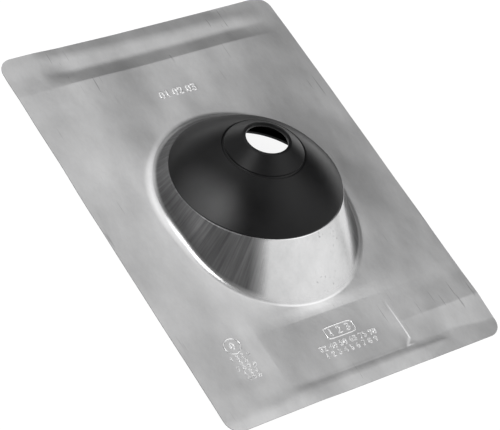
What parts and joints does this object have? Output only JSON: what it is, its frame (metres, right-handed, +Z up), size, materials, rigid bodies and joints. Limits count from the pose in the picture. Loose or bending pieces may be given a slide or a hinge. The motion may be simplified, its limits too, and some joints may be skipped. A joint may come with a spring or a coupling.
{
  "type": "pipe flashing boot",
  "caption": "Roof flashing boot: a stamped galvanised steel apron with a raised boss and a snap-in black rubber collar that seals round a vent pipe.",
  "frame": {"origin": "on the ground, under the middle of the apron", "axes": "+X across the roof, +Y up the roof slope, along the apron's length, +Z up out of the roof"},
  "size_m": [0.235, 0.324, 0.0597],
  "materials": {
    "galvanised_sheet": "smooth bright galvanised sheet, satin, with faint rolling lines and handling scuffs",
    "collar_rubber": "matte black moulded rubber"
  },
  "bodies": {
    "root": {"base_flashing": "galvanised_sheet", "pipe_collar": "collar_rubber"}
  },
  "joints": []
}
